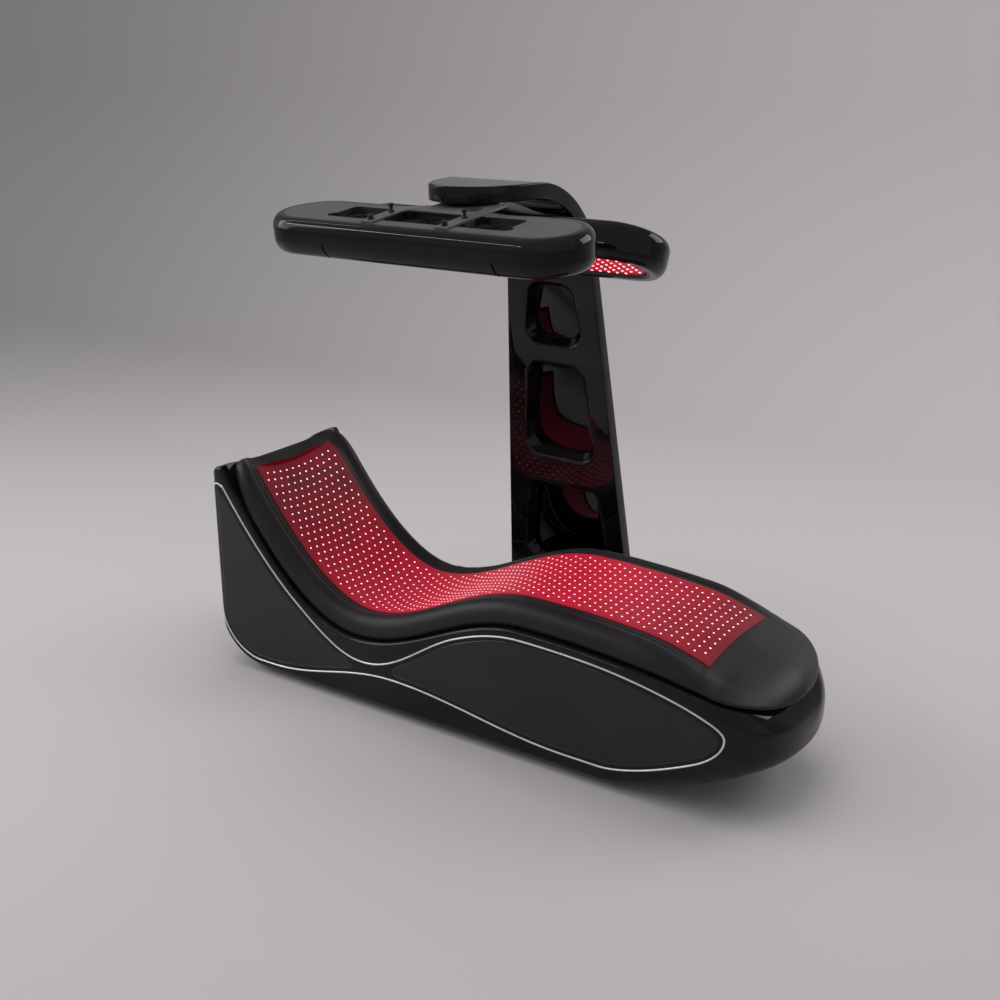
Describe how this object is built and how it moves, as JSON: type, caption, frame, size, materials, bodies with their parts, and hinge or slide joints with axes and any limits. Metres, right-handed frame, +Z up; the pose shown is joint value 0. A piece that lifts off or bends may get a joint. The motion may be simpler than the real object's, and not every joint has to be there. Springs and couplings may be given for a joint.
{
  "type": "red light therapy bed",
  "caption": "Wave-shaped lounger with a lit mattress and a ribbon tower that holds two tilting red light heads over it.",
  "frame": {"origin": "on the floor, under the middle of the whole object's bounding box", "axes": "+X towards the foot end of the bed, +Y from the bed to the tower, +Z up"},
  "size_m": [2.1, 1.1588, 1.721],
  "materials": {
    "gloss_black": "polished",
    "panel_gloss": "mirror polished",
    "silver_trim": "satin",
    "leatherette": "soft satin",
    "mat_cover": "satin with lit dots",
    "matte_black": "matt",
    "foot_rubber": "matt",
    "dark_steel": "satin",
    "raw_aluminium": "brushed",
    "inlet_plastic": "matt",
    "rocker_red": "smooth",
    "bright_steel": "satin",
    "dark_mirror": "mirror",
    "grey_steel": "satin",
    "black_bolt": "satin",
    "cap_plastic": "satin",
    "plate_grey": "satin",
    "fan_plastic": "matt",
    "board": "satin",
    "lit_lens": "glowing",
    "bezel_black": "smooth"
  },
  "bodies": {
    "base": {"body_shell": "gloss_black", "base_pan": "matte_black", "chassis_frame": "dark_steel", "levelling_feet": "foot_rubber", "near_trim": "silver_trim", "far_trim": "silver_trim", "near_head_panel": "panel_gloss", "near_foot_panel": "panel_gloss", "far_head_panel": "panel_gloss", "far_foot_panel": "panel_gloss", "mattress": "leatherette", "led_mat": "mat_cover", "power_supplies": "raw_aluminium", "control_box": "matte_black", "mains_inlet": "inlet_plastic", "tower_base": "dark_steel", "tower_bolts": "bright_steel", "tower_frame": "dark_steel", "tower_shell": "gloss_black", "tower_back_cover": "matte_black", "upper_mirror": "dark_mirror", "middle_mirror": "dark_mirror", "lower_mirror": "dark_mirror", "hub_block": "dark_steel", "hub_bolts": "bright_steel", "near_hinge_pin": "bright_steel", "far_hinge_pin": "bright_steel"},
    "rocker": {"rocker_switch": "rocker_red"},
    "near_wing": {"near_bracket": "grey_steel", "near_bracket_bolts": "black_bolt", "near_cable_cap": "cap_plastic", "near_light_shell": "gloss_black", "near_top_plate": "plate_grey", "near_fan_tray": "matte_black", "near_fan_frames": "fan_plastic", "near_led_board": "board", "near_lenses": "lit_lens", "near_bezel": "bezel_black"},
    "far_wing": {"far_bracket": "grey_steel", "far_bracket_bolts": "black_bolt", "far_cable_cap": "cap_plastic", "far_light_shell": "gloss_black", "far_top_plate": "plate_grey", "far_fan_tray": "matte_black", "far_fan_frames": "fan_plastic", "far_led_board": "board", "far_lenses": "lit_lens", "far_bezel": "bezel_black"},
    "near_fan_1_rotor": {"near_fan_1": "fan_plastic"},
    "near_fan_2_rotor": {"near_fan_2": "fan_plastic"},
    "near_fan_3_rotor": {"near_fan_3": "fan_plastic"},
    "far_fan_1_rotor": {"far_fan_1": "fan_plastic"},
    "far_fan_2_rotor": {"far_fan_2": "fan_plastic"},
    "far_fan_3_rotor": {"far_fan_3": "fan_plastic"}
  },
  "joints": [
    {"name": "near_wing_tilt", "type": "hinge", "parent": "base", "child": "near_wing", "pos_m": [-0.145, -0.22265, 1.66], "axis": [1, 0, 0], "range_deg": [-5, 37]},
    {"name": "far_wing_tilt", "type": "hinge", "parent": "base", "child": "far_wing", "pos_m": [-0.145, -0.15865, 1.66], "axis": [-1, 0, 0], "range_deg": [-5, 20]},
    {"name": "rocker_tilt", "type": "hinge", "parent": "base", "child": "rocker", "pos_m": [-1.045, -0.19065, 0.317], "axis": [0, 1, 0], "range_deg": [-16, 0]},
    {"name": "near_fan_1_spin", "type": "hinge", "parent": "near_wing", "child": "near_fan_1_rotor", "pos_m": [0.091, -0.43032, 1.60111], "axis": [0, -0.1132, 0.9936], "continuous": true},
    {"name": "near_fan_2_spin", "type": "hinge", "parent": "near_wing", "child": "near_fan_2_rotor", "pos_m": [-0.145, -0.43032, 1.60111], "axis": [0, -0.1132, 0.9936], "continuous": true},
    {"name": "near_fan_3_spin", "type": "hinge", "parent": "near_wing", "child": "near_fan_3_rotor", "pos_m": [-0.381, -0.43032, 1.60111], "axis": [0, -0.1132, 0.9936], "continuous": true},
    {"name": "far_fan_1_spin", "type": "hinge", "parent": "far_wing", "child": "far_fan_1_rotor", "pos_m": [-0.381, 0.0196, 1.53826], "axis": [0, 0.4226, 0.9063], "continuous": true},
    {"name": "far_fan_2_spin", "type": "hinge", "parent": "far_wing", "child": "far_fan_2_rotor", "pos_m": [-0.145, 0.0196, 1.53826], "axis": [0, 0.4226, 0.9063], "continuous": true},
    {"name": "far_fan_3_spin", "type": "hinge", "parent": "far_wing", "child": "far_fan_3_rotor", "pos_m": [0.091, 0.0196, 1.53826], "axis": [0, 0.4226, 0.9063], "continuous": true}
  ]
}
